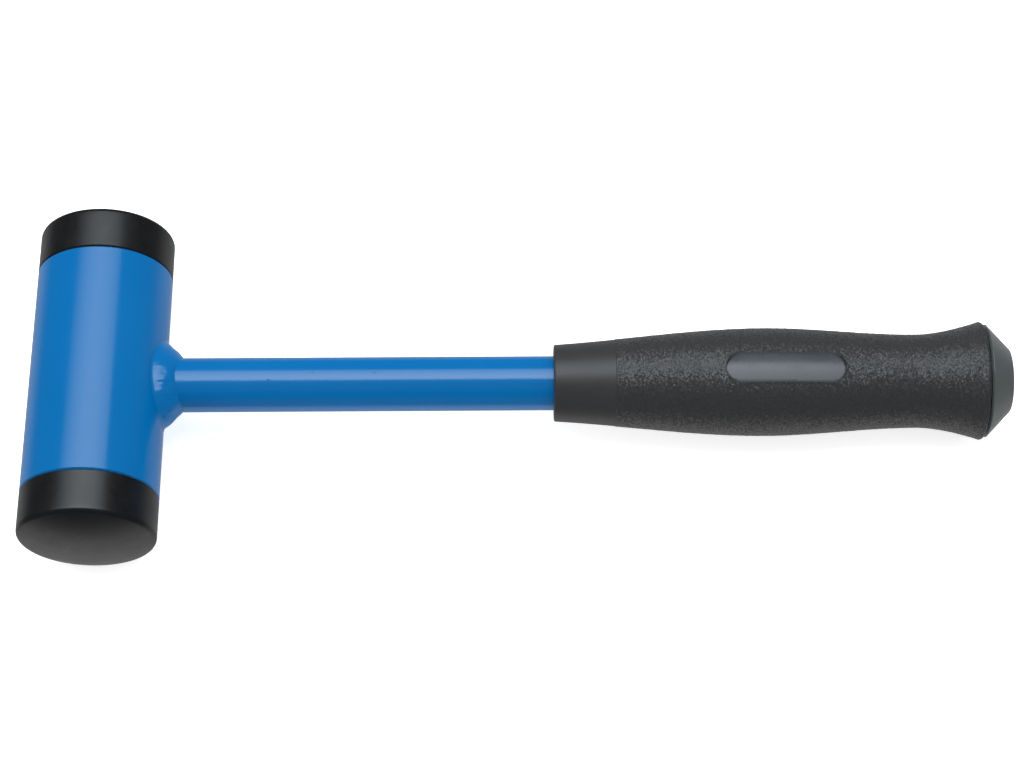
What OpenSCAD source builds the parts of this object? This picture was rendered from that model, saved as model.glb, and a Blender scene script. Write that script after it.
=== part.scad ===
// Soft face hammer, no-rebound type, lying on its side.
// +X runs along the handle from the head to the butt, Y along the head, +Z up.
// The origin is under the middle of the hammer, on the surface that it lies on.

/* [Head] */
// Outside diameter of the head tube and of both striking faces
head_d = 40; // [36:1:60]
// Length of the steel head tube
head_len = 72; // [64:1:110]
// Wall of the head tube along the shot chamber
head_wall = 3.5; // [2.5:0.25:5]
// Bevel round each outer end of the head tube
head_bevel = 0.4; // [0.2:0.1:0.8]
// Width of the shoulder in the bore that a closing disc seats on
seat_step = 0.75; // [0.5:0.05:1.25]

/* [Striking faces] */
// Height of a face above the end of the head tube, at the middle of its crown
face_h = 17; // [12:0.5:26]
// Height of the crown: how far the striking surface bulges
face_crown = 4.25; // [1:0.25:5]
// Radius of the rounded striking edge
face_edge_r = 1.7; // [1:0.1:4]
// Length of the spigot that sits in the tube
spigot_len = 10; // [8:0.5:14]
// Lead-in bevel on the tip of the spigot
spigot_bevel = 1; // [0.5:0.25:1.5]
// Number of glue grooves round the spigot
groove_count = 2; // [1:1:2]
// Width of each glue groove
groove_w = 1.5; // [1:0.25:2]
// Depth of the glue grooves
groove_depth = 0.6; // [0.3:0.1:1]

/* [Shot] */
// Thickness of the steel discs that close the shot chamber
disc_t = 2; // [1.5:0.25:4]
// Diameter of a shot ball
ball_d = 6; // [5:0.25:7]
// Layers of shot along the head
shot_layers = 5; // [3:1:7]

/* [Handle] */
// Outside diameter of the handle tube
tube_d = 16; // [14:0.5:20]
// Wall of the handle tube
tube_wall = 2; // [1.5:0.25:3]
// Distance from the end of the handle tube to the back of the grip sleeve
tube_inset = 1; // [0.5:0.25:3]
// Leg of the weld along the handle tube
weld_leg = 5.2; // [3:0.1:7]
// Leg of the weld on the head, along the head's length
weld_side_leg = 5.3; // [4:0.1:8]
// Leg of the weld on the head, round the head
weld_round_leg = 2.4; // [2:0.1:4]

/* [Grip] */
// Distance from the axis of the head to the front of the grip
grip_start = 134; // [90:1:220]
// Length of the grip sleeve
grip_len = 125.8; // [115:0.2:150]
// Diameter of the grip at its front
front_d = 22.9; // [21.5:0.1:26]
// Radius of the edge at the front of the grip
front_edge_r = 0.6; // [0.3:0.1:1]
// Rise of the radius per length where the grip starts
front_slope = 0.06; // [0:0.01:0.1]
// Length of the smooth collar at the front
collar_len = 18; // [10:1:30]
// Height of the step from the collar up to the grained surface
collar_step = 0.15; // [0.1:0.05:0.4]
// Diameter of the swell that fills the palm
swell_d = 31.9; // [28:0.1:38]
// Distance from the front of the grip to the swell
swell_at = 62; // [50:1:75]
// Diameter of the waist behind the swell
waist_d = 27.6; // [24:0.1:32]
// Distance from the waist to the back of the grip
waist_back = 19.8; // [14:0.2:28]
// Diameter of the flared rim
rim_d = 34.7; // [32:0.1:40]
// Radius of the rounded edge of the rim
rim_edge_r = 0.5; // [0.3:0.1:3]
// Angle at which the flare runs into the rim
flare_angle = 17; // [8:1:25]

/* [Badge recess] */
// Length of the oval recess
badge_len = 35; // [24:0.5:44]
// Width of the oval recess
badge_w = 9; // [6:0.2:12]
// Depth of the oval recess
badge_depth = 0.6; // [0.3:0.1:1]
// Distance from the front of the grip to the middle of the recess
badge_at = 67; // [55:0.2:75]
// Turn of the recess round the handle, from the top towards the front face
badge_turn = 10; // [0:1:45]

/* [End cap] */
// Height of the end cap behind the grip
cap_h = 8; // [5:0.2:9]
// Inset of the end cap from the rounded edge of the rim, at the seam
cap_inset = 0.25; // [0.1:0.05:1]
// Diameter of the flat end
cap_end_d = 18.6; // [14:0.2:22]
// Bevel of the end cap at the seam
cap_bevel = 0.5; // [0.2:0.1:0.8]
// Radius of the edge round the flat end
cap_edge_r = 0.8; // [0.4:0.1:1.5]
// Length of the plug in the handle tube
plug_len = 14; // [8:1:25]
// Lead-in bevel on the tip of the plug
plug_bevel = 1; // [0.5:0.25:2]

/* [Fits] */
// Radial gap of parts that are pressed or glued together
press_gap = 0.05; // [0.02:0.01:0.1]
// Root gap between the welded tubes and the weld
weld_gap = 0.05; // [0.03:0.01:0.1]
// Gap between the shot and the wall of its chamber
shot_wall_gap = 0.3; // [0.2:0.05:0.5]
// Least gap from one shot ball to the next
ball_gap = 0.1; // [0.05:0.05:0.3]

/* [Hidden] */
$fn = 96;

blue_paint = "#0a6cb8";
black_plastic = "#2a2c2e";
bare_steel = "#a8acb0";
grip_black = "#3a3b3d";
cap_grey = "#4c5154";

// Sides of the head along Y
FRONT = -1;
REAR = 1;

// Steps along one stretch of a curved outline
edge_steps = 6;
curve_steps = 12;
// Sectors round the weld, and points across its foot on the head
weld_sectors = 72;
weld_foot_steps = 4;

head_r = head_d / 2;
bore_r = head_r - head_wall;
seat_r = bore_r + seat_step;
seat_depth = spigot_len + disc_t;

tube_r = tube_d / 2;
grip_end = grip_start + grip_len;
cap_end = grip_end + cap_h;

// The head's axis and the handle's axis in the frame of the part
head_x = (head_r - cap_end) / 2;
axis_z = max(head_d, rim_d) / 2;

// Points of an arc in an outline, as [radius, height]
function arc(centre, r, from, to, steps) = [
    for (i = [0 : steps])
        let (a = from + (to - from) * i / steps)
        centre + r * [cos(a), sin(a)]
];

// Points of an outline that goes on from where the one before it ended
function after_first(points) = [for (i = [1 : len(points) - 1]) points[i]];

// Radius at height h on the cubic between two stations [height, radius, slope]
function blend(p, q, h) =
    let (
        span = q[0] - p[0],
        t = (h - p[0]) / span
    )
    p[1] * (2 * pow(t, 3) - 3 * pow(t, 2) + 1)
    + p[2] * span * (pow(t, 3) - 2 * pow(t, 2) + t)
    + q[1] * (3 * pow(t, 2) - 2 * pow(t, 3))
    + q[2] * span * (pow(t, 3) - pow(t, 2));

// Local +Z runs out of the head tube at one of its ends, from that end
module along_head(side) {
    translate([head_x, side * head_len / 2, axis_z])
        rotate([-90 * side, 0, 0])
            children();
}

// Local +Z runs along the handle from the axis of the head, local -X is up
module along_handle() {
    translate([head_x, 0, axis_z])
        rotate([0, 90, 0])
            children();
}

module head_tube() {
    half = head_len / 2;
    wall = [
        [bore_r, half - seat_depth],
        [seat_r, half - seat_depth],
        [seat_r, half],
        [head_r - head_bevel, half],
        [head_r, half - head_bevel]
    ];
    far_wall = [for (i = [len(wall) - 1 : -1 : 0]) [wall[i][0], -wall[i][1]]];
    color(blue_paint)
        along_head(REAR)
            translate([0, 0, -half])
                rotate_extrude()
                    polygon(concat(wall, far_wall));
}

// A face is turned from one piece: grooved spigot, shoulder, straight side, rounded edge and crown
module striking_face(side) {
    spigot_r = seat_r - press_gap;
    crown_r = (pow(head_r, 2) + pow(face_crown, 2)) / (2 * face_crown);
    crown_centre = [0, face_h - crown_r];
    edge_x = head_r - face_edge_r;
    edge_z = crown_centre[1] + sqrt(pow(crown_r - face_edge_r, 2) - pow(edge_x, 2));
    edge_end = atan2(edge_z - crown_centre[1], edge_x);
    groove_pitch = spigot_len / (groove_count + 1);
    spigot = [
        [0, -spigot_len],
        [spigot_r - spigot_bevel, -spigot_len],
        [spigot_r, spigot_bevel - spigot_len]
    ];
    grooves = [
        for (i = [groove_count : -1 : 1])
            let (
                low = -i * groove_pitch - groove_w / 2,
                high = low + groove_w,
                floor_r = spigot_r - groove_depth
            )
            each [[spigot_r, low], [floor_r, low], [floor_r, high], [spigot_r, high]]
    ];
    shoulder = [
        [spigot_r, 0],
        [head_r - head_bevel, 0],
        [head_r, head_bevel]
    ];
    edge = arc([edge_x, edge_z], face_edge_r, 0, edge_end, edge_steps);
    crown = after_first(arc(crown_centre, crown_r, edge_end, 90, curve_steps));
    color(black_plastic)
        along_head(side)
            rotate_extrude()
                polygon(concat(spigot, grooves, shoulder, edge, crown));
}

module front_face() {
    striking_face(FRONT);
}

module rear_face() {
    striking_face(REAR);
}

// A disc seats on the shoulder in the bore and the spigot of the face keeps it there
module closing_disc(side) {
    color(bare_steel)
        along_head(side)
            translate([0, 0, -seat_depth])
                cylinder(h = disc_t, r = seat_r - press_gap);
}

module front_closing_disc() {
    closing_disc(FRONT);
}

module rear_closing_disc() {
    closing_disc(REAR);
}

// Layers of balls across the head, each a middle ball with rings round it, lying on the low side of the bore
module shot_charge() {
    pitch = ball_d + ball_gap;
    room_r = bore_r - shot_wall_gap - ball_d / 2;
    rings = floor(room_r / pitch);
    drop = room_r - rings * pitch;
    color(bare_steel)
        along_head(REAR)
            translate([0, drop, -head_len / 2])
                for (layer = [0 : shot_layers - 1])
                    translate([0, 0, (layer - (shot_layers - 1) / 2) * pitch]) {
                        sphere(d = ball_d);
                        for (ring = [1 : rings])
                            shot_ring(ring, pitch);
                    }
}

// Six balls fit round the middle one, and six more in each ring after that; the first is on the low side
module shot_ring(ring, pitch) {
    balls = 6 * ring;
    for (i = [0 : balls - 1])
        rotate([0, 0, 360 * i / balls])
            translate([0, ring * pitch, 0])
                sphere(d = ball_d);
}

// The front end is cut to the round of the head
module handle_tube() {
    color(blue_paint)
        difference() {
            along_handle()
                cylinder(h = grip_end - tube_inset, r = tube_r);
            along_handle()
                cylinder(h = grip_end, r = tube_r - tube_wall);
            along_head(REAR)
                translate([0, 0, -head_len])
                    cylinder(h = head_len, r = head_r + weld_gap);
        }
}

// Distance along the handle at which a line at radius r and turn a meets the head
function saddle(r, a) = sqrt(pow(head_r + weld_gap, 2) - pow(r * sin(a), 2));

// Section of the weld at turn a: along its foot on the head, then to its toe on the handle
function weld_section(a) =
    let (
        root_r = tube_r + weld_gap,
        foot_leg = weld_round_leg + (weld_side_leg - weld_round_leg) * pow(cos(a), 2)
    )
    concat(
        [for (i = [0 : weld_foot_steps])
            let (r = root_r + foot_leg * i / weld_foot_steps)
            [r, saddle(r, a)]],
        [[root_r, saddle(root_r, a) + weld_leg]]
    );

// A fillet that follows the saddle where the round handle meets the round head
module handle_weld() {
    count = weld_foot_steps + 2;
    points = [
        for (s = [0 : weld_sectors - 1])
            let (a = 360 * s / weld_sectors)
            for (p = weld_section(a))
                [p[0] * sin(a), p[0] * cos(a), p[1]]
    ];
    faces = [
        for (s = [0 : weld_sectors - 1])
            for (i = [0 : count - 1])
                let (
                    next_s = (s + 1) % weld_sectors,
                    next_i = (i + 1) % count
                )
                each [
                    [s * count + i, next_s * count + i, next_s * count + next_i],
                    [s * count + i, next_s * count + next_i, s * count + next_i]
                ]
    ];
    color(blue_paint)
        along_handle()
            polyhedron(points, faces);
}

// Stations of the grip's outline: front, swell, waist and the start of the rim's edge
grip_stations = [
    [grip_start, front_d / 2, front_slope],
    [grip_start + swell_at, swell_d / 2, 0],
    [grip_end - waist_back, waist_d / 2, 0],
    [
        grip_end - rim_edge_r * (1 + sin(flare_angle)),
        rim_d / 2 - rim_edge_r * (1 - cos(flare_angle)),
        tan(flare_angle)
    ]
];

// Radius of the grip at height h along the handle
function grip_r(h) =
    h < grip_stations[1][0] ? blend(grip_stations[0], grip_stations[1], h) :
    h < grip_stations[2][0] ? blend(grip_stations[1], grip_stations[2], h) :
    blend(grip_stations[2], grip_stations[3], h);

// Points of the grip's outline between two heights, sunk by some depth
function grip_curve(from, to, sunk) = [
    for (i = [0 : curve_steps])
        let (h = from + (to - from) * i / curve_steps)
        [grip_r(h) - sunk, h]
];

// Solid form of the grip without its bore, sunk by some depth all over
module grip_form(sunk) {
    collar_start = grip_start + front_edge_r;
    collar_end = grip_start + collar_len;
    swell = grip_stations[1][0];
    waist = grip_stations[2][0];
    rim = grip_stations[3][0];
    front_centre = [grip_r(collar_start) - collar_step - front_edge_r - sunk, collar_start];
    rim_centre = [rim_d / 2 - rim_edge_r - sunk, grip_end - rim_edge_r];
    rotate_extrude()
        polygon(concat(
            [[0, grip_start]],
            arc(front_centre, front_edge_r, -90, 0, edge_steps),
            after_first(grip_curve(collar_start, collar_end, collar_step + sunk)),
            grip_curve(collar_end + collar_step, swell, sunk),
            after_first(grip_curve(swell, waist, sunk)),
            after_first(grip_curve(waist, rim, sunk)),
            after_first(arc(rim_centre, rim_edge_r, -flare_angle, 90, edge_steps)),
            [[0, grip_end]]
        ));
}

// Prism with round ends that stands through the grip's skin over the oval recess
module badge_prism() {
    end_shift = (badge_len - badge_w) / 2;
    up = 180;
    translate([0, 0, grip_start + badge_at])
        rotate([0, 0, up + badge_turn])
            rotate([0, 90, 0])
                linear_extrude(height = swell_d) {
                    square([2 * end_shift, badge_w], center = true);
                    for (side = [-1, 1])
                        translate([side * end_shift, 0])
                            circle(d = badge_w);
                }
}

module grip_sleeve() {
    color(grip_black)
        along_handle()
            difference() {
                grip_form(0);
                difference() {
                    badge_prism();
                    grip_form(badge_depth);
                }
                cylinder(h = cap_end, r = tube_r + press_gap);
            }
}

// A cone with a flat end, held by a plug in the open end of the handle tube
module grip_end_cap() {
    plug_r = tube_r - tube_wall - press_gap;
    cap_r = rim_d / 2 - rim_edge_r - cap_inset;
    end_r = cap_end_d / 2;
    cone_start = grip_end + 2 * cap_bevel;
    cone_angle = atan2(cap_r - end_r, cap_end - cone_start);
    edge_inset = cap_edge_r * tan((90 - cone_angle) / 2);
    edge_centre = [end_r - edge_inset, cap_end - cap_edge_r];
    color(cap_grey)
        along_handle()
            rotate_extrude()
                polygon(concat(
                    [
                        [0, grip_end - plug_len],
                        [plug_r - plug_bevel, grip_end - plug_len],
                        [plug_r, grip_end - plug_len + plug_bevel],
                        [plug_r, grip_end],
                        [cap_r - cap_bevel, grip_end],
                        [cap_r, grip_end + cap_bevel],
                        [cap_r, cone_start]
                    ],
                    arc(edge_centre, cap_edge_r, cone_angle, 90, edge_steps),
                    [[0, cap_end]]
                ));
}

head_tube();
front_face();
rear_face();
front_closing_disc();
rear_closing_disc();
shot_charge();
handle_tube();
handle_weld();
grip_sleeve();
grip_end_cap();
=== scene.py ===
"""Finished surfaces, stage and camera of a soft face hammer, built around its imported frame.

Everything is in metres and in the frame of the part: +X along the handle from the head to the butt,
Y along the head, +Z up from the surface that the hammer lies on.
"""

import math

import bpy
from bpy.props import FloatProperty, FloatVectorProperty, IntProperty, PointerProperty
from bpy.types import Operator, Panel, PropertyGroup
from mathutils import Matrix, Vector, noise


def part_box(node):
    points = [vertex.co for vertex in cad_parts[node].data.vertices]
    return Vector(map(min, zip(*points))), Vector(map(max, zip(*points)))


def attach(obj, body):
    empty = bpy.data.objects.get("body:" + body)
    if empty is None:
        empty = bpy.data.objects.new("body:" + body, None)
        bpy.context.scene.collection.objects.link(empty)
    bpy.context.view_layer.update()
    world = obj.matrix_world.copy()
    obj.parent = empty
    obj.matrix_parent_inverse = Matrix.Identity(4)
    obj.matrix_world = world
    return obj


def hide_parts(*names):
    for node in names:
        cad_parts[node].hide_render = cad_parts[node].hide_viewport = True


bl_info = {
    "name": "Soft Face Hammer",
    "version": (1, 0, 0),
    "blender": (4, 5, 0),
    "location": "View3D > Sidebar > Hammer",
    "description": "Finished surfaces of a no-rebound soft face hammer with a welded tube handle",
    "category": "Add Mesh",
}

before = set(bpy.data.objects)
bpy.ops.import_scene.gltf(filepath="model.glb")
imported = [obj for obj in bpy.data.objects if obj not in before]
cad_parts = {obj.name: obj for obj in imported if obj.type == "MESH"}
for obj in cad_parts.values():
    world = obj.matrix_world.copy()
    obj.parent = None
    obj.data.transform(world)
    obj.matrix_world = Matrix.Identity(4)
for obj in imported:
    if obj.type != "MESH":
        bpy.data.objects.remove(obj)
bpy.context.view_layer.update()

MM = 0.001
FRONT, REAR = -1, 1
SHARP_ANGLE = math.radians(32)
SENSOR_WIDTH = 36.0
# Where most values of a noise texture lie
NOISE_LOW, NOISE_HIGH = 0.3, 0.7

# Places and sizes that the solids already hold
head_low, head_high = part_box("head_tube")
face_low, face_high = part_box("rear_face")
tube_low, tube_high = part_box("handle_tube")
grip_low, grip_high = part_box("grip_sleeve")
cap_low, cap_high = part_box("grip_end_cap")

HEAD_X = (head_low.x + head_high.x) / 2
AXIS_Z = (head_low.z + head_high.z) / 2
HEAD_R = (head_high.z - head_low.z) / 2
HEAD_HALF = head_high.y
FACE_HEIGHT = face_high.y - HEAD_HALF
SPIGOT_LENGTH = HEAD_HALF - face_low.y
TUBE_R = (tube_high.y - tube_low.y) / 2
GRIP_START = grip_low.x - HEAD_X
GRIP_END = grip_high.x - HEAD_X
RIM_R = (grip_high.y - grip_low.y) / 2
CAP_R = (cap_high.y - cap_low.y) / 2
CAP_END = cap_high.x - HEAD_X
PLUG_START = cap_low.x - HEAD_X

# Local +Z along the handle from the axis of the head, local -X up
HANDLE_PLACE = Matrix.Translation((HEAD_X, 0, AXIS_Z)) @ Matrix.Rotation(math.pi / 2, 4, "Y")


def linear(hex_colour):
    """Linear red, green and blue of an sRGB hex colour."""
    channels = [int(hex_colour[i:i + 2], 16) / 255 for i in (1, 3, 5)]
    return tuple(c / 12.92 if c <= 0.04045 else ((c + 0.055) / 1.055) ** 2.4 for c in channels)


def length(name, description, millimetres):
    return FloatProperty(
        name=name, description=description, default=millimetres * MM, min=0.0, precision=5,
        subtype="DISTANCE", unit="LENGTH",
    )


def colour(name, description, hex_colour):
    return FloatVectorProperty(
        name=name, description=description, default=linear(hex_colour), size=3, min=0.0, max=1.0,
        subtype="COLOR",
    )


def angle(name, description, degrees):
    return FloatProperty(
        name=name, description=description, default=math.radians(degrees), subtype="ANGLE", unit="ROTATION",
    )


class FaceSettings(PropertyGroup):
    crown: length("Crown", "How far the striking surface bulges", 4.25)
    edge_radius: length("Edge radius", "Radius of the rounded striking edge", 1.7)
    shoulder_bevel: length("Shoulder bevel", "Bevel where the face meets the tube", 0.4)
    spigot_inset: length("Spigot inset", "Distance from the outside of the head to the spigot", 2.8)
    spigot_bevel: length("Spigot bevel", "Lead-in bevel on the tip of the spigot", 1.0)
    groove_count: IntProperty(
        name="Grooves", description="Glue grooves round the spigot", default=2, min=0, max=2)
    groove_width: length("Groove width", "Width of a glue groove", 1.5)
    groove_depth: length("Groove depth", "Depth of a glue groove", 0.6)
    segments: IntProperty(name="Segments", description="Sides round a face", default=192, min=24)
    plastic: colour("Plastic", "Colour of the turned black plastic", "#121315")


class WeldSettings(PropertyGroup):
    tube_leg: length("Leg on the tube", "Reach of the weld along the handle tube", 5.2)
    side_leg: length("Leg along the head", "Reach of the weld on the head, along its length", 5.3)
    round_leg: length("Leg round the head", "Reach of the weld on the head, round it", 2.4)
    root_gap: length("Root gap", "Gap between the weld and the two tubes", 0.05)
    bulge: length("Bulge", "Height of the bead over a straight face, above and below the handle", 0.55)
    side_bulge: length("Bulge at the sides", "The same beside the handle", 0.1)
    unevenness: length("Unevenness", "Height of the waves in the bead", 0.3)
    wave_length: length("Wave length", "Length of the waves in the bead", 2.6)
    paint_hollow: length("Paint hollow", "Reach of the paint that fills the corner at the foot", 0.7)
    ripple_pitch: length("Ripple pitch", "Distance from one weld ripple to the next", 1.5)
    ripple_height: length("Ripple height", "Height of a weld ripple under the paint", 0.05)
    sectors: IntProperty(name="Sectors", description="Steps round the handle", default=288, min=24)


class GripSettings(PropertyGroup):
    front_radius: length("Front radius", "Radius of the grip at its front", 11.45)
    front_edge: length("Front edge", "Radius of the edge at the front of the grip", 0.6)
    collar_length: length("Collar length", "Length of the smooth collar at the front", 18.0)
    collar_step: length("Collar step", "Height of the step from the collar up to the grain", 0.15)
    swell_radius: length("Swell radius", "Radius of the swell that fills the palm", 15.95)
    swell_at: length("Swell place", "Distance from the front of the grip to the swell", 62.0)
    waist_radius: length("Waist radius", "Radius of the waist behind the swell", 13.8)
    waist_back: length("Waist place", "Distance from the waist to the back of the grip", 19.8)
    rim_edge: length("Rim edge", "Radius of the rounded edge of the rim", 0.9)
    flare_angle: angle("Flare angle", "Angle at which the flare runs into the rim", 17.0)
    front_slope: FloatProperty(
        name="Front slope", description="Rise of the radius per length at the front", default=0.06)
    badge_length: length("Oval length", "Length of the bare oval recess", 35.0)
    badge_width: length("Oval width", "Width of the bare oval recess", 9.0)
    badge_depth: length("Oval depth", "Depth of the bare oval recess along its edge", 0.15)
    badge_hollow: length("Oval hollow", "How far the floor of the oval is hollowed across", 0.65)
    badge_at: length("Oval place", "Distance from the front of the grip to the middle of the oval", 67.0)
    badge_turn: angle("Oval turn", "Turn of the oval from the top towards the front face", 10.0)
    grain_size: length("Grain size", "Spacing of the pebbles of the moulded grain", 1.15)
    grain_depth: length("Grain depth", "Height of the tallest pebbles", 0.08)
    mesh_step: length("Mesh step", "Spacing of the points on the grained surface", 0.36)
    bore_gap: length("Bore gap", "Gap between the grip and the handle tube", 0.05)
    collar_roughness: FloatProperty(
        name="Collar roughness", description="Roughness of the smooth collar", default=0.42, min=0.0, max=1.0)
    oval_roughness: FloatProperty(
        name="Oval roughness", description="Roughness of the smooth oval", default=0.27, min=0.0, max=1.0)
    plastic: colour("Plastic", "Colour of the moulded grip", "#313132")
    # Painted sheen: the oval is the grip's own plastic, coloured lighter for the light that its smooth floor
    # mirrors
    oval_painted_sheen_plastic: colour("Oval", "Colour of the smooth oval", "#404549")


class CapSettings(PropertyGroup):
    bevel: length("Bevel", "Bevel of the end cap at the seam", 0.5)
    seam_gap: length("Seam gap", "Width of the gap between the grip and the cap", 0.35)
    seam_depth: length("Seam depth", "Depth of that gap", 1.6)
    end_radius: length("End radius", "Radius of the flat end", 9.3)
    edge_radius: length("Edge radius", "Radius of the edge round the flat end", 0.8)
    plug_radius: length("Plug radius", "Radius of the plug in the handle tube", 5.95)
    plug_bevel: length("Plug bevel", "Lead-in bevel on the tip of the plug", 1.0)
    segments: IntProperty(name="Segments", description="Sides round the cap", default=160, min=24)
    roughness: FloatProperty(
        name="Roughness", description="Roughness of the cap", default=0.22, min=0.0, max=1.0)
    plastic: colour("Plastic", "Colour of the moulded cap", "#4c5151")


class PaintSettings(PropertyGroup):
    enamel: colour("Enamel", "Colour of the paint on the head and the handle", "#0063a1")
    steel: colour("Steel", "Colour of the bare steel inside the head", "#b4b7ba")


class StageSettings(PropertyGroup):
    elevation: angle("Elevation", "Height of the camera above the horizon", 63.161)
    turn: angle("Turn", "Turn of the camera from straight in front of the striking face", -0.363)
    distance: length("Distance", "Distance of the camera from the hammer", 738.518)
    pan_right: length("Pan right", "Shift of the camera to the right, from the axis of the head", 121.764)
    pan_up: length("Pan up", "Shift of the camera upwards in the picture", 0.527)
    focal_length: FloatProperty(
        name="Focal length", description="Focal length on a 36 mm wide sensor, in mm", default=88.305)
    floor_size: length("Floor size", "Length of a side of the floor", 6000.0)
    floor_colour: colour("Floor", "Colour of the floor", "#f6f6f6")
    floor_light: FloatProperty(
        name="Floor light", description="Brightness of the light table itself", default=0.74)
    table_front: FloatProperty(
        name="Table in front", description="Brightness of the table where the hammer mirrors its front",
        default=0.78)
    table_back: FloatProperty(
        name="Table behind", description="Brightness of the table where the hammer mirrors its back",
        default=0.4)
    flag_gleam: FloatProperty(
        name="Flag gleam", description="Brightness of the dark flags round the stage", default=0.06)
    table_tilt: angle("Table tilt", "Angle by which the mirrored table reaches higher behind", 15.0)
    box_height: length("Softbox height", "Height of the softbox above the floor", 1000.0)
    box_length: length("Softbox length", "Size of the softbox along the handle", 1720.0)
    box_width: length("Softbox width", "Size of the softbox along the head", 870.0)
    box_left: length("Softbox to the left", "Distance of its middle to the left of the head", 240.0)
    box_behind: length("Softbox behind", "Distance of its middle behind the handle", 315.0)
    box_spread: angle("Softbox spread", "Angle over which its grid lets light out", 100.0)
    box_power: FloatProperty(
        name="Softbox power", description="Power of the softbox, in watts", default=6.2, unit="POWER")
    box_colour: colour("Softbox colour", "Colour of its cool daylight", "#f1faff")
    fill_tilt: angle("Fill tilt", "Tilt of the fill light from straight above towards the back", 30.0)
    fill_angle: angle("Fill angle", "Angle that the fill light takes up in the sky", 170.0)
    fill_strength: FloatProperty(
        name="Fill strength", description="Strength of the fill light, in watts per square metre",
        default=2.5)
    room_light: FloatProperty(
        name="Room light", description="Brightness of the white room behind the stage", default=1.0)


class HammerSettings(PropertyGroup):
    faces: PointerProperty(type=FaceSettings)
    weld: PointerProperty(type=WeldSettings)
    grip: PointerProperty(type=GripSettings)
    cap: PointerProperty(type=CapSettings)
    paint: PointerProperty(type=PaintSettings)
    stage: PointerProperty(type=StageSettings)


def add_node(tree, kind, settings=None, values=None, links=None):
    """Adds a node, sets its own settings and sockets, and links sockets to (node, output) pairs."""
    node = tree.nodes.new(kind)
    for name, value in (settings or {}).items():
        setattr(node, name, value)
    for socket, value in (values or {}).items():
        node.inputs[socket].default_value = value
    for socket, (source, output) in (links or {}).items():
        tree.links.new(source.outputs[output], node.inputs[socket])
    return node


def start_material(name):
    """An empty node material, its tree and the coordinates of the part, in metres."""
    material = bpy.data.materials.new(name)
    material.use_nodes = True
    tree = material.node_tree
    tree.nodes.clear()
    return material, tree, add_node(tree, "ShaderNodeTexCoord")


def opaque(rgb):
    return (*rgb, 1.0)


def shade(rgb, factor):
    return opaque([min(1.0, c * factor) for c in rgb])


def sprayed_enamel(paint):
    """Blue enamel sprayed on steel."""
    # A thick semi-gloss film: clear reflections with a slight waviness, and here and there a small raised
    # speck, darker than the paint round it
    film_wave = 2.4 * MM
    drift_width = 30 * MM
    speck_spacing = 11 * MM
    speck_share = 0.05
    smoothest, roughest = 0.13, 0.22
    peel_height = 0.05 * MM
    nib_height = 0.1 * MM
    material, tree, coords = start_material("enamel_sprayed_on_steel")
    drift = add_node(
        tree, "ShaderNodeTexNoise", values={"Scale": 1 / drift_width, "Detail": 3.0},
        links={"Vector": (coords, "Object")})
    wave = add_node(
        tree, "ShaderNodeTexNoise", values={"Scale": 1 / film_wave, "Detail": 1.0},
        links={"Vector": (coords, "Object")})
    specks = add_node(
        tree, "ShaderNodeTexVoronoi", values={"Scale": 1 / speck_spacing},
        links={"Vector": (coords, "Object")})
    speck = add_node(
        tree, "ShaderNodeMapRange", {"interpolation_type": "SMOOTHSTEP"},
        {"From Min": 0.0, "From Max": speck_share, "To Min": 1.0, "To Max": 0.0},
        {"Value": (specks, "Distance")})
    tone = add_node(
        tree, "ShaderNodeMix", {"data_type": "RGBA"},
        {6: shade(paint.enamel, 0.95), 7: shade(paint.enamel, 1.05)}, {0: (drift, "Fac")})
    tint = add_node(
        tree, "ShaderNodeMix", {"data_type": "RGBA"}, {7: shade(paint.enamel, 0.6)},
        {0: (speck, "Result"), 6: (tone, 2)})
    gloss = add_node(
        tree, "ShaderNodeMapRange", values={"To Min": smoothest, "To Max": roughest},
        links={"Value": (drift, "Fac")})
    peel = add_node(
        tree, "ShaderNodeBump", values={"Strength": 0.12, "Distance": peel_height},
        links={"Height": (wave, "Fac")})
    nib = add_node(
        tree, "ShaderNodeBump", values={"Strength": 0.5, "Distance": nib_height},
        links={"Height": (speck, "Result"), "Normal": (peel, "Normal")})
    surface = add_node(
        tree, "ShaderNodeBsdfPrincipled", values={"IOR": 1.5},
        links={"Base Color": (tint, 2), "Roughness": (gloss, "Result"), "Normal": (nib, "Normal")})
    add_node(tree, "ShaderNodeOutputMaterial", links={"Surface": (surface, "BSDF")})
    return material


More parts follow.
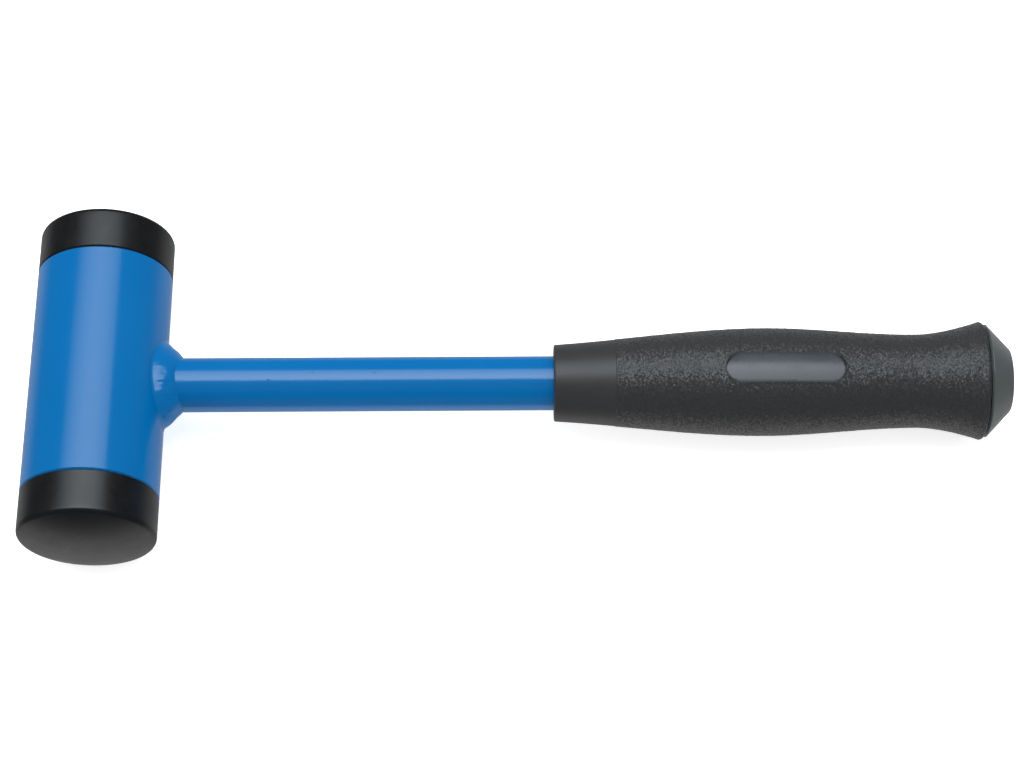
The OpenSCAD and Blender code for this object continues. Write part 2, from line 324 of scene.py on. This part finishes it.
def turned_polyamide(faces):
    """Black polyamide turned on a lathe."""
    # Satin, with fine rings round the axis of the head and a few pale scuffs from use.
    # The tool leaves rings about 0.15 mm apart, too fine for the picture, so they are drawn wider.
    ring_pitch = 0.5 * MM
    ring_height = 0.02 * MM
    scuff_width = 5 * MM
    smoothest, roughest = 0.26, 0.37
    material, tree, coords = start_material("polyamide_turned_black")
    from_axis = add_node(
        tree, "ShaderNodeVectorMath", {"operation": "SUBTRACT"}, {1: (HEAD_X, 0.0, AXIS_Z)},
        {0: (coords, "Object")})
    across = add_node(
        tree, "ShaderNodeVectorMath", {"operation": "MULTIPLY"}, {1: (1.0, 0.0, 1.0)},
        {0: (from_axis, "Vector")})
    radius = add_node(tree, "ShaderNodeVectorMath", {"operation": "LENGTH"}, links={0: (across, "Vector")})
    parts = add_node(tree, "ShaderNodeSeparateXYZ", links={"Vector": (from_axis, "Vector")})
    along = add_node(tree, "ShaderNodeMath", {"operation": "ABSOLUTE"}, links={0: (parts, "Y")})
    feed = add_node(
        tree, "ShaderNodeMath", {"operation": "SUBTRACT"}, links={0: (radius, "Value"), 1: (along, "Value")})
    phase = add_node(
        tree, "ShaderNodeMath", {"operation": "MULTIPLY"}, {1: 2 * math.pi / ring_pitch},
        {0: (feed, "Value")})
    rings = add_node(tree, "ShaderNodeMath", {"operation": "SINE"}, links={0: (phase, "Value")})
    scuffs = add_node(
        tree, "ShaderNodeTexNoise", values={"Scale": 1 / scuff_width, "Detail": 6.0, "Roughness": 0.65},
        links={"Vector": (coords, "Object")})
    tone = add_node(
        tree, "ShaderNodeMix", {"data_type": "RGBA"},
        {6: shade(faces.plastic, 0.85), 7: shade(faces.plastic, 1.25)}, {0: (scuffs, "Fac")})
    satin = add_node(
        tree, "ShaderNodeMapRange",
        values={"From Min": NOISE_LOW, "From Max": NOISE_HIGH, "To Min": smoothest, "To Max": roughest},
        links={"Value": (scuffs, "Fac")})
    turning = add_node(
        tree, "ShaderNodeBump", values={"Strength": 0.05, "Distance": ring_height},
        links={"Height": (rings, "Value")})
    surface = add_node(
        tree, "ShaderNodeBsdfPrincipled", values={"IOR": 1.52},
        links={"Base Color": (tone, 2), "Roughness": (satin, "Result"), "Normal": (turning, "Normal")})
    add_node(tree, "ShaderNodeOutputMaterial", links={"Surface": (surface, "BSDF")})
    return material


def grained_polypropylene(grip):
    """Black polypropylene moulded against an etched tool."""
    # The pebbles are in the mesh. The etching leaves tiny facets on them, each with its own slant, that
    # sparkle where they catch the light. They are about 0.2 mm wide, too fine for the picture, so they are
    # drawn wider.
    facet_size = 0.34 * MM
    slant = 0.5
    smoothest, roughest = 0.28, 0.42
    material, tree, coords = start_material("polypropylene_moulded_grain")
    facets = add_node(
        tree, "ShaderNodeTexVoronoi", values={"Scale": 1 / facet_size}, links={"Vector": (coords, "Object")})
    tone = add_node(
        tree, "ShaderNodeMix", {"data_type": "RGBA"},
        {6: shade(grip.plastic, 0.8), 7: shade(grip.plastic, 1.2)}, {0: (facets, "Distance")})
    dull = add_node(
        tree, "ShaderNodeMapRange", values={"To Min": smoothest, "To Max": roughest},
        links={"Value": (facets, "Distance")})
    turned = add_node(
        tree, "ShaderNodeVectorMath", {"operation": "SUBTRACT"}, {1: (0.5, 0.5, 0.5)}, {0: (facets, "Color")})
    surface_normal = add_node(tree, "ShaderNodeNewGeometry")
    slanted = add_node(
        tree, "ShaderNodeVectorMath", {"operation": "MULTIPLY_ADD"}, {1: (slant, slant, slant)},
        {0: (turned, "Vector"), 2: (surface_normal, "Normal")})
    facet = add_node(tree, "ShaderNodeVectorMath", {"operation": "NORMALIZE"}, links={0: (slanted, "Vector")})
    surface = add_node(
        tree, "ShaderNodeBsdfPrincipled", values={"IOR": 1.49},
        links={"Base Color": (tone, 2), "Roughness": (dull, "Result"), "Normal": (facet, "Vector")})
    add_node(tree, "ShaderNodeOutputMaterial", links={"Surface": (surface, "BSDF")})
    return material


def smooth_polypropylene(name, plastic, roughness):
    """Polypropylene moulded against a smooth tool."""
    # An even satin sheen that only drifts a little, as the melt cools unevenly behind the skin
    drift_width = 8 * MM
    drift = 0.04
    material, tree, coords = start_material(name)
    clouds = add_node(
        tree, "ShaderNodeTexNoise", values={"Scale": 1 / drift_width, "Detail": 4.0},
        links={"Vector": (coords, "Object")})
    tone = add_node(
        tree, "ShaderNodeMix", {"data_type": "RGBA"},
        {6: shade(plastic, 0.92), 7: shade(plastic, 1.1)}, {0: (clouds, "Fac")})
    sheen = add_node(
        tree, "ShaderNodeMapRange",
        values={
            "From Min": NOISE_LOW, "From Max": NOISE_HIGH,
            "To Min": roughness - drift, "To Max": roughness + drift,
        },
        links={"Value": (clouds, "Fac")})
    surface = add_node(
        tree, "ShaderNodeBsdfPrincipled", values={"IOR": 1.49},
        links={"Base Color": (tone, 2), "Roughness": (sheen, "Result")})
    add_node(tree, "ShaderNodeOutputMaterial", links={"Surface": (surface, "BSDF")})
    return material


def bare_steel(paint):
    """Bare rolled and ground steel inside the head."""
    # Grey metal with the soft streaks that rubbing shot leaves
    streak_width = 1.5 * MM
    smoothest, roughest = 0.25, 0.5
    material, tree, coords = start_material("steel_bare_ground")
    streaks = add_node(
        tree, "ShaderNodeTexNoise", values={"Scale": 1 / streak_width, "Detail": 4.0},
        links={"Vector": (coords, "Object")})
    tone = add_node(
        tree, "ShaderNodeMix", {"data_type": "RGBA"},
        {6: shade(paint.steel, 0.85), 7: shade(paint.steel, 1.0)}, {0: (streaks, "Fac")})
    polish = add_node(
        tree, "ShaderNodeMapRange", values={"To Min": smoothest, "To Max": roughest},
        links={"Value": (streaks, "Fac")})
    surface = add_node(
        tree, "ShaderNodeBsdfPrincipled", values={"Metallic": 1.0},
        links={"Base Color": (tone, 2), "Roughness": (polish, "Result")})
    add_node(tree, "ShaderNodeOutputMaterial", links={"Surface": (surface, "BSDF")})
    return material


def white_acrylic(stage):
    """Matt white acrylic of the light table under the hammer."""
    # Even and lit from within, so that hardly a shadow shows
    cloud_size = 40 * MM
    material, tree, coords = start_material("acrylic_matt_white")
    clouds = add_node(
        tree, "ShaderNodeTexNoise", values={"Scale": 1 / cloud_size}, links={"Vector": (coords, "Object")})
    tone = add_node(
        tree, "ShaderNodeMix", {"data_type": "RGBA"},
        {6: shade(stage.floor_colour, 0.99), 7: shade(stage.floor_colour, 1.0)}, {0: (clouds, "Fac")})
    surface = add_node(
        tree, "ShaderNodeBsdfPrincipled",
        values={
            "Roughness": 0.9, "Specular IOR Level": 0.1,
            "Emission Color": opaque(stage.floor_colour), "Emission Strength": stage.floor_light,
        },
        links={"Base Color": (tone, 2)})
    add_node(tree, "ShaderNodeOutputMaterial", links={"Surface": (surface, "BSDF")})
    material.cycles.emission_sampling = "NONE"
    return material


def paint_nodes(material, *names):
    """Gives solids that keep their own shape a finished material."""
    for name in names:
        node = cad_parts[name]
        node.data.materials.clear()
        node.data.materials.append(material)


def arc(centre, radius, start, end, steps):
    """Points (radius, height) of an arc in an outline; angles in radians from the outward direction."""
    turns = [start + (end - start) * i / steps for i in range(steps + 1)]
    return [(centre[0] + radius * math.cos(t), centre[1] + radius * math.sin(t)) for t in turns]


def finish_mesh(name, points, faces, materials, body, slot, *nodes):
    """Makes a shaded object of points in the frame of the part, and puts it in place of solids."""
    mesh = bpy.data.meshes.new(name)
    mesh.from_pydata(points, [], faces)
    mesh.shade_smooth()
    mesh.set_sharp_from_angle(angle=SHARP_ANGLE)
    for material in materials:
        mesh.materials.append(material)
    piece = bpy.data.objects.new(name, mesh)
    bpy.context.scene.collection.objects.link(piece)
    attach(piece, body)
    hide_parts(*nodes)
    return piece


def turn_solid(outline, place, segments):
    """Points and faces of a solid turned from an outline (radius, height) with both ends on the axis."""
    turns = [2 * math.pi * s / segments for s in range(segments)]
    rings = [
        [place @ Vector((r * math.cos(t), r * math.sin(t), h)) for t in turns] for r, h in outline[1:-1]
    ]
    start = place @ Vector((0, 0, outline[0][1]))
    end = place @ Vector((0, 0, outline[-1][1]))
    points = [start, *(p for ring in rings for p in ring), end]
    faces = []
    for s in range(segments):
        n = (s + 1) % segments
        faces.append((0, 1 + n, 1 + s))
        for i in range(len(rings) - 1):
            low, high = 1 + i * segments, 1 + (i + 1) * segments
            faces.append((low + s, low + n, high + n, high + s))
        last = 1 + (len(rings) - 1) * segments
        faces.append((last + s, last + n, len(points) - 1))
    return points, faces


def face_outline(faces):
    """Spigot, shoulder, straight side, rounded edge and crown; heights from the end of the head tube."""
    spigot_r = HEAD_R - faces.spigot_inset
    crown_r = (HEAD_R ** 2 + faces.crown ** 2) / (2 * faces.crown)
    crown_centre = (0.0, FACE_HEIGHT - crown_r)
    edge_x = HEAD_R - faces.edge_radius
    edge_z = crown_centre[1] + math.sqrt((crown_r - faces.edge_radius) ** 2 - edge_x ** 2)
    edge_end = math.atan2(edge_z - crown_centre[1], edge_x)
    groove_pitch = SPIGOT_LENGTH / (faces.groove_count + 1)
    grooves = []
    for i in range(faces.groove_count, 0, -1):
        low = -i * groove_pitch - faces.groove_width / 2
        high = low + faces.groove_width
        floor_r = spigot_r - faces.groove_depth
        grooves += [(spigot_r, low), (floor_r, low), (floor_r, high), (spigot_r, high)]
    side_rows, edge_steps, crown_steps = 8, 14, 40
    side = [
        (HEAD_R, faces.shoulder_bevel + (edge_z - faces.shoulder_bevel) * i / side_rows)
        for i in range(side_rows)
    ]
    return [
        (0.0, -SPIGOT_LENGTH),
        (spigot_r - faces.spigot_bevel, -SPIGOT_LENGTH),
        (spigot_r, faces.spigot_bevel - SPIGOT_LENGTH),
        *grooves,
        (spigot_r, 0.0),
        (HEAD_R - faces.shoulder_bevel, 0.0),
        *side,
        *arc((edge_x, edge_z), faces.edge_radius, 0.0, edge_end, edge_steps),
        *arc(crown_centre, crown_r, edge_end, math.pi / 2, crown_steps)[1:],
    ]


def saddle(weld, radius, turn):
    """Distance along the handle at which a line at this radius and turn meets the head."""
    return math.sqrt((HEAD_R + weld.root_gap) ** 2 - (radius * math.sin(turn)) ** 2)


def weld_points(weld, turn, travelled):
    """Section of the weld at one turn round the handle: foot on the head, rippled face, toe on the tube."""
    root_r = TUBE_R + weld.root_gap
    foot_leg = weld.round_leg + (weld.side_leg - weld.round_leg) * math.cos(turn) ** 2
    start = Vector((root_r + foot_leg, saddle(weld, root_r + foot_leg, turn)))
    toe = Vector((root_r, saddle(weld, root_r, turn) + weld.tube_leg))
    across = Vector((toe.y - start.y, start.x - toe.x)).normalized()
    bulge = weld.side_bulge + (weld.bulge - weld.side_bulge) * math.sin(turn) ** 2

    def bead(t):
        # The ripples are crescents: they run ahead in the middle of the face
        phase = 2 * math.pi * (travelled / weld.ripple_pitch + 0.5 * (2 * t - 1) ** 2)
        rise = weld.ripple_height * (0.5 + 0.5 * math.cos(phase)) * math.sin(math.pi * t)
        swing = Vector((root_r * math.cos(turn), root_r * math.sin(turn), t * weld.tube_leg))
        wave = noise.noise(swing / weld.wave_length)
        rise += (bulge + weld.unevenness * wave) * 4 * t * (1 - t)
        return start.lerp(toe, t) + rise * across

    # The paint fills the corner at the foot with a hollow
    foot_steps, hollow_steps, face_steps = 6, 6, 16
    brim_r = start.x + weld.paint_hollow
    radii = [root_r + (brim_r - root_r) * i / foot_steps for i in range(foot_steps + 1)]
    section = [Vector((r, saddle(weld, r, turn))) for r in radii]
    brim = section[-1]
    landing = weld.paint_hollow / (toe - start).length
    for i in range(1, hollow_steps):
        t = i / hollow_steps
        section.append(brim.lerp(start, t).lerp(start.lerp(bead(landing), t), t))
    section += [bead(landing + (1 - landing) * i / face_steps) for i in range(face_steps + 1)]
    return section


def cubic(start, end, height):
    """Radius at a height on the cubic between two stations (height, radius, slope)."""
    span = end[0] - start[0]
    t = (height - start[0]) / span
    return (
        start[1] * (2 * t ** 3 - 3 * t ** 2 + 1)
        + start[2] * span * (t ** 3 - 2 * t ** 2 + t)
        + end[1] * (3 * t ** 2 - 2 * t ** 3)
        + end[2] * span * (t ** 3 - t ** 2)
    )


def grip_stations(grip):
    """Front, swell, waist and the start of the rim's edge, as (height, radius, slope)."""
    flare = grip.flare_angle
    return [
        (GRIP_START, grip.front_radius, grip.front_slope),
        (GRIP_START + grip.swell_at, grip.swell_radius, 0.0),
        (GRIP_END - grip.waist_back, grip.waist_radius, 0.0),
        (
            GRIP_END - grip.rim_edge * (1 + math.sin(flare)),
            RIM_R - grip.rim_edge * (1 - math.cos(flare)),
            math.tan(flare),
        ),
    ]


def grip_radius(stations, height):
    for start, end in zip(stations, stations[1:]):
        if height < end[0]:
            return cubic(start, end, height)
    return stations[-1][1]


def pebble(point, size):
    """Height, from 0 to 1, of the grain at a point: round pebbles, some tall and some hardly there."""
    spread = 0.62
    lowest = 0.25
    # Takes each pebble to a cell of its own, which gives it a height of its own
    scatter = 7.3
    distances, centres = noise.voronoi(point / size)
    dome = max(0.0, 1.0 - (distances[0] / spread) ** 2)
    return dome * (lowest + (1 - lowest) * abs(noise.cell(scatter * centres[0])))


def oval_distance(grip, along, side):
    """Distance outside the edge of the oval, and the direction in which it grows."""
    half = (grip.badge_length - grip.badge_width) / 2
    offset = Vector((along - max(-half, min(half, along)), side))
    away = offset.length
    return away - grip.badge_width / 2, offset / away if away > 1e-9 else Vector((0.0, 1.0))


GRAINED, SMOOTH, OVAL = range(3)


def grip_mesh(grip):
    """Points, faces and the finish of each face of the sleeve, with its grain and its oval recess."""
    stations = grip_stations(grip)
    columns = int(2 * math.pi * grip.swell_radius / grip.mesh_step)
    grain_start = GRIP_START + grip.collar_length + grip.collar_step
    grain_end = stations[-1][0]
    rows = int((grain_end - grain_start) / grip.mesh_step)
    collar_start = GRIP_START + grip.front_edge
    collar_end = GRIP_START + grip.collar_length
    collar_rows, front_steps, rim_steps = 24, 8, 14
    collar_heights = [
        collar_start + (collar_end - collar_start) * i / collar_rows for i in range(1, collar_rows + 1)
    ]
    front_centre = (
        grip_radius(stations, collar_start) - grip.collar_step - grip.front_edge, collar_start)
    rim_centre = (RIM_R - grip.rim_edge, GRIP_END - grip.rim_edge)
    bore_r = TUBE_R + grip.bore_gap

    front = arc(front_centre, grip.front_edge, -math.pi / 2, 0.0, front_steps)
    collar = [(grip_radius(stations, h) - grip.collar_step, h) for h in collar_heights]
    grained = [grain_start + (grain_end - grain_start) * i / rows for i in range(rows + 1)]
    rim = arc(rim_centre, grip.rim_edge, -grip.flare_angle, math.pi / 2, rim_steps)[1:]
    plain_before = [(bore_r, GRIP_START), *front, *collar]
    plain_after = [*rim, (bore_r, GRIP_END)]

    def spun(radius, height, turn):
        return Vector((HEAD_X + height, -radius * math.sin(turn), AXIS_Z + radius * math.cos(turn)))

    turns = [2 * math.pi * c / columns for c in range(columns)]
    points = [spun(r, h, t) for r, h in plain_before for t in turns]
    in_oval = []
    wall = grip.mesh_step
    fade_width = 2 * grip.mesh_step
    middle = GRIP_START + grip.badge_at
    half_width = grip.badge_width / 2
    for h in grained:
        fade = min(1.0, (h - grain_start) / fade_width, (grain_end - h) / grip.rim_edge)
        base = grip_radius(stations, h)
        for t in turns:
            height, turn = h, t
            sunk = 0.0
            lean = (t - grip.badge_turn + math.pi) % (2 * math.pi) - math.pi
            inside = False
            grain = fade
            if abs(h - middle) < grip.badge_length and abs(lean) < math.pi / 3:
                along, side = h - middle, base * math.sin(lean)
                gap, away = oval_distance(grip, along, side)
                if -1.5 * wall < gap < 0.5 * wall:
                    # Points near the wall of the recess move onto the nearer of its two edges
                    snapped = 0.0 if gap > -0.5 * wall else -wall
                    height = h + away.x * (snapped - gap)
                    turn = grip.badge_turn + math.asin((side + away.y * (snapped - gap)) / base)
                    gap = snapped
                if gap <= -wall:
                    # The floor is hollowed across, where the grip itself is round
                    across = base * math.sin(turn - grip.badge_turn)
                    scoop = grip.badge_hollow + half_width ** 2 / (2 * base)
                    sunk = grip.badge_depth + scoop * (1 - (across / half_width) ** 2)
                inside = gap <= 0.0
                grain *= max(0.0, min(1.0, gap / fade_width))
            point = spun(grip_radius(stations, height) - sunk, height, turn)
            if grain > 0.0:
                valley = grip.grain_depth * grain * (1.0 - pebble(point, grip.grain_size))
                point = spun(grip_radius(stations, height) - valley, height, turn)
            points.append(point)
            in_oval.append(inside)
    points += [spun(r, h, t) for r, h in plain_after for t in turns]

    first, count = len(plain_before), len(grained)
    total = first + count + len(plain_after)
    faces, finish = [], []
    for i in range(total):
        j = (i + 1) % total
        for c in range(columns):
            n = (c + 1) % columns
            faces.append((i * columns + c, j * columns + c, j * columns + n, i * columns + n))
            if first <= i < first + count - 1 and all(
                    in_oval[(row - first) * columns + col] for row in (i, j) for col in (c, n)):
                finish.append(OVAL)
            else:
                finish.append(GRAINED if first <= i < first + count - 1 + len(rim) else SMOOTH)
    return points, faces, finish


class HAMMER_OT_head(Operator):
    """Paints the head tube"""

    bl_idname = "hammer.head"
    bl_label = "Head"

    def execute(self, context):
        paint_nodes(sprayed_enamel(context.scene.hammer.paint), "head_tube")
        return {"FINISHED"}


class HAMMER_OT_faces(Operator):
    """Turns both striking faces"""

    bl_idname = "hammer.faces"
    bl_label = "Striking faces"

    def execute(self, context):
        faces = context.scene.hammer.faces
        plastic = turned_polyamide(faces)
        for name, side in (("front_face", FRONT), ("rear_face", REAR)):
            place = (
                Matrix.Translation((HEAD_X, side * HEAD_HALF, AXIS_Z))
                @ Matrix.Rotation(-side * math.pi / 2, 4, "X")
            )
            points, quads = turn_solid(face_outline(faces), place, faces.segments)
            finish_mesh(f"turned_{name}", points, quads, [plastic], "hammer", "black_polyamide", name)
        return {"FINISHED"}


class HAMMER_OT_shot(Operator):
    """Finishes the closing discs and the shot inside the head"""

    bl_idname = "hammer.shot"
    bl_label = "Discs and shot"

    def execute(self, context):
        paint_nodes(
            bare_steel(context.scene.hammer.paint), "front_closing_disc", "rear_closing_disc", "shot_charge")
        return {"FINISHED"}


class HAMMER_OT_handle(Operator):
    """Paints the handle tube and lays the weld that joins it to the head"""

    bl_idname = "hammer.handle"
    bl_label = "Handle and weld"

    def execute(self, context):
        weld = context.scene.hammer.weld
        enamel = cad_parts["head_tube"].data.materials[0]
        paint_nodes(enamel, "handle_tube")
        ripples = round(2 * math.pi * (TUBE_R + weld.round_leg) / weld.ripple_pitch)
        sections = []
        for s in range(weld.sectors):
            turn = 2 * math.pi * s / weld.sectors
            travelled = weld.ripple_pitch * ripples * s / weld.sectors
            sections.append([
                HANDLE_PLACE @ Vector((r * math.sin(turn), r * math.cos(turn), h))
                for r, h in weld_points(weld, turn, travelled)
            ])
        count = len(sections[0])
        points = [p for section in sections for p in section]
        quads = []
        for s in range(weld.sectors):
            n = (s + 1) % weld.sectors
            for i in range(count):
                j = (i + 1) % count
                quads.append((s * count + i, n * count + i, n * count + j, s * count + j))
        finish_mesh("laid_handle_weld", points, quads, [enamel], "hammer", "blue_enamel", "handle_weld")
        return {"FINISHED"}


class HAMMER_OT_grip(Operator):
    """Moulds the grip sleeve with its collar, grain and bare oval"""

    bl_idname = "hammer.grip"
    bl_label = "Grip sleeve"

    def execute(self, context):
        grip = context.scene.hammer.grip
        points, quads, finish = grip_mesh(grip)
        smooth = smooth_polypropylene(
            "polypropylene_moulded_smooth", grip.plastic, grip.collar_roughness)
        # The oval's lighter colour is painted sheen over the grip's plastic; only its lower roughness is real
        oval = smooth_polypropylene(
            "polypropylene_moulded_polished_painted_sheen", grip.oval_painted_sheen_plastic, grip.oval_roughness)
        piece = finish_mesh(
            "moulded_grip_sleeve", points, quads, [grained_polypropylene(grip), smooth, oval],
            "hammer", "grip_plastic", "grip_sleeve")
        piece.data.polygons.foreach_set("material_index", finish)
        return {"FINISHED"}


class HAMMER_OT_end_cap(Operator):
    """Moulds the end cap with its plug"""

    bl_idname = "hammer.end_cap"
    bl_label = "End cap"

    def execute(self, context):
        cap = context.scene.hammer.cap
        edge_steps = 10
        cone_start = GRIP_END + 2 * cap.bevel
        cone_angle = math.atan2(CAP_R - cap.end_radius, CAP_END - cone_start)
        edge_inset = cap.edge_radius * math.tan((math.pi / 2 - cone_angle) / 2)
        edge_centre = (cap.end_radius - edge_inset, CAP_END - cap.edge_radius)
        outline = [
            (0.0, PLUG_START),
            (cap.plug_radius - cap.plug_bevel, PLUG_START),
            (cap.plug_radius, PLUG_START + cap.plug_bevel),
            (cap.plug_radius, GRIP_END),
            (CAP_R - cap.seam_depth, GRIP_END),
            (CAP_R - cap.seam_depth, GRIP_END + cap.seam_gap),
            (CAP_R - cap.bevel, GRIP_END + cap.seam_gap),
            (CAP_R, GRIP_END + cap.seam_gap + cap.bevel),
            (CAP_R, cone_start),
            *arc(edge_centre, cap.edge_radius, cone_angle, math.pi / 2, edge_steps),
            (0.0, CAP_END),
        ]
        points, quads = turn_solid(outline, HANDLE_PLACE, cap.segments)
        plastic = smooth_polypropylene("polypropylene_moulded_satin_grey", cap.plastic, cap.roughness)
        finish_mesh("moulded_end_cap", points, quads, [plastic], "hammer", "cap_plastic", "grip_end_cap")
        return {"FINISHED"}


class HAMMER_OT_stage(Operator):
    """Sets the floor, the light and the camera"""

    bl_idname = "hammer.stage"
    bl_label = "Stage"

    def execute(self, context):
        scene = context.scene
        stage = scene.hammer.stage
        # The hammer lies on its head and its rim, so the floor leans by the difference of their radii
        lean = math.asin((HEAD_R - RIM_R) / (GRIP_END - scene.hammer.grip.rim_edge))
        half = stage.floor_size / 2
        square = ((-half, -half), (half, -half), (half, half), (-half, half))
        tilt = Matrix.Translation((HEAD_X, 0, AXIS_Z)) @ Matrix.Rotation(-lean, 4, "Y")
        corners = [tilt @ Vector((x, y, -HEAD_R)) for x, y in square]
        board = bpy.data.meshes.new("floor")
        board.from_pydata(corners, [], [(0, 1, 2, 3)])
        board.materials.append(white_acrylic(stage))
        floor = bpy.data.objects.new("floor", board)
        scene.collection.objects.link(floor)

        # Behind the stage the room is white. What the hammer mirrors is dark flags all round, and the light
        # table below: brightest in front of the hammer, reaching higher but dimmer behind it. The limits are
        # parts of a direction of length 1.
        table_ends, flags_start = -0.62, -0.22
        front_ends, back_starts = -0.6, 0.0
        world = bpy.data.worlds.new("studio")
        scene.world = world
        world.use_nodes = True
        tree = world.node_tree
        tree.nodes.clear()
        coords = add_node(tree, "ShaderNodeTexCoord")
        height = add_node(
            tree, "ShaderNodeVectorMath", {"operation": "DOT_PRODUCT"},
            {1: (0.0, -math.sin(stage.table_tilt), math.cos(stage.table_tilt))}, {0: (coords, "Generated")})
        fade = add_node(
            tree, "ShaderNodeMapRange", {"interpolation_type": "SMOOTHSTEP"},
            {
                "From Min": table_ends, "From Max": flags_start,
                "To Min": stage.table_front, "To Max": stage.flag_gleam,
            },
            {"Value": (height, "Value")})
        direction = add_node(tree, "ShaderNodeSeparateXYZ", links={"Vector": (coords, "Generated")})
        share = add_node(
            tree, "ShaderNodeMapRange",
            values={
                "From Min": front_ends, "From Max": back_starts,
                "To Min": 1.0, "To Max": stage.table_back / stage.table_front,
            },
            links={"Value": (direction, "Y")})
        glow = add_node(
            tree, "ShaderNodeMath", {"operation": "MULTIPLY"},
            links={0: (fade, "Result"), 1: (share, "Result")})
        table = add_node(tree, "ShaderNodeBackground", links={"Strength": (glow, "Value")})
        room = add_node(tree, "ShaderNodeBackground", values={"Strength": stage.room_light})
        path = add_node(tree, "ShaderNodeLightPath")
        seen = add_node(
            tree, "ShaderNodeMixShader",
            links={0: (path, "Is Camera Ray"), 1: (table, "Background"), 2: (room, "Background")})
        add_node(tree, "ShaderNodeOutputWorld", links={"Surface": (seen, "Shader")})
        for background in (table, room):
            background.inputs["Color"].default_value = (1.0, 1.0, 1.0, 1.0)
        world.cycles_visibility.diffuse = False
        floor.visible_glossy = False

        box = bpy.data.lights.new("softbox", "AREA")
        box.shape = "RECTANGLE"
        box.size = stage.box_length
        box.size_y = stage.box_width
        box.spread = stage.box_spread
        box.energy = stage.box_power
        box.color = stage.box_colour
        softbox = bpy.data.objects.new("softbox", box)
        softbox.location = (HEAD_X - stage.box_left, stage.box_behind, stage.box_height)
        scene.collection.objects.link(softbox)

        bounce = bpy.data.lights.new("fill", "SUN")
        bounce.energy = stage.fill_strength
        bounce.angle = stage.fill_angle
        fill = bpy.data.objects.new("fill", bounce)
        fill.rotation_euler = (-stage.fill_tilt, 0, 0)
        fill.visible_glossy = False
        scene.collection.objects.link(fill)

        scene.view_settings.view_transform = "Standard"
        scene.view_settings.look = "None"

        back = Vector((
            math.sin(stage.turn) * math.cos(stage.elevation),
            -math.cos(stage.turn) * math.cos(stage.elevation),
            math.sin(stage.elevation),
        ))
        right = Vector((math.cos(stage.turn), math.sin(stage.turn), 0.0))
        up = back.cross(right)
        head = Vector((HEAD_X, 0, AXIS_Z))
        eye = head + stage.distance * back + stage.pan_right * right + stage.pan_up * up
        lens = bpy.data.cameras.new("camera")
        lens.lens = stage.focal_length
        lens.sensor_width = SENSOR_WIDTH
        lens.sensor_fit = "HORIZONTAL"
        lens.clip_start = 10 * MM
        camera = bpy.data.objects.new("camera", lens)
        camera.matrix_world = Matrix.Translation(eye) @ Matrix((right, up, back)).transposed().to_4x4()
        scene.collection.objects.link(camera)
        scene.camera = camera
        return {"FINISHED"}


BUILD_STEPS = (
    HAMMER_OT_head,
    HAMMER_OT_faces,
    HAMMER_OT_shot,
    HAMMER_OT_handle,
    HAMMER_OT_grip,
    HAMMER_OT_end_cap,
    HAMMER_OT_stage,
)


class VIEW3D_PT_hammer(Panel):
    """Sizes, colours and build steps of the hammer"""

    bl_idname = "VIEW3D_PT_hammer"
    bl_label = "Soft face hammer"
    bl_space_type = "VIEW_3D"
    bl_region_type = "UI"
    bl_category = "Hammer"

    def draw(self, context):
        settings = context.scene.hammer
        for step in BUILD_STEPS:
            self.layout.operator(step.bl_idname)
        for group_name in HammerSettings.__annotations__:
            group = getattr(settings, group_name)
            box = self.layout.box()
            for name in group.__annotations__:
                box.prop(group, name)


CLASSES = (
    FaceSettings,
    WeldSettings,
    GripSettings,
    CapSettings,
    PaintSettings,
    StageSettings,
    HammerSettings,
    *BUILD_STEPS,
    VIEW3D_PT_hammer,
)


def register():
    for cls in CLASSES:
        bpy.utils.register_class(cls)
    bpy.types.Scene.hammer = PointerProperty(type=HammerSettings)


def unregister():
    del bpy.types.Scene.hammer
    for cls in reversed(CLASSES):
        bpy.utils.unregister_class(cls)


def main():
    register()
    bpy.ops.hammer.head()
    bpy.ops.hammer.faces()
    bpy.ops.hammer.shot()
    bpy.ops.hammer.handle()
    bpy.ops.hammer.grip()
    bpy.ops.hammer.end_cap()
    bpy.ops.hammer.stage()


if __name__ == "__main__":
    main()
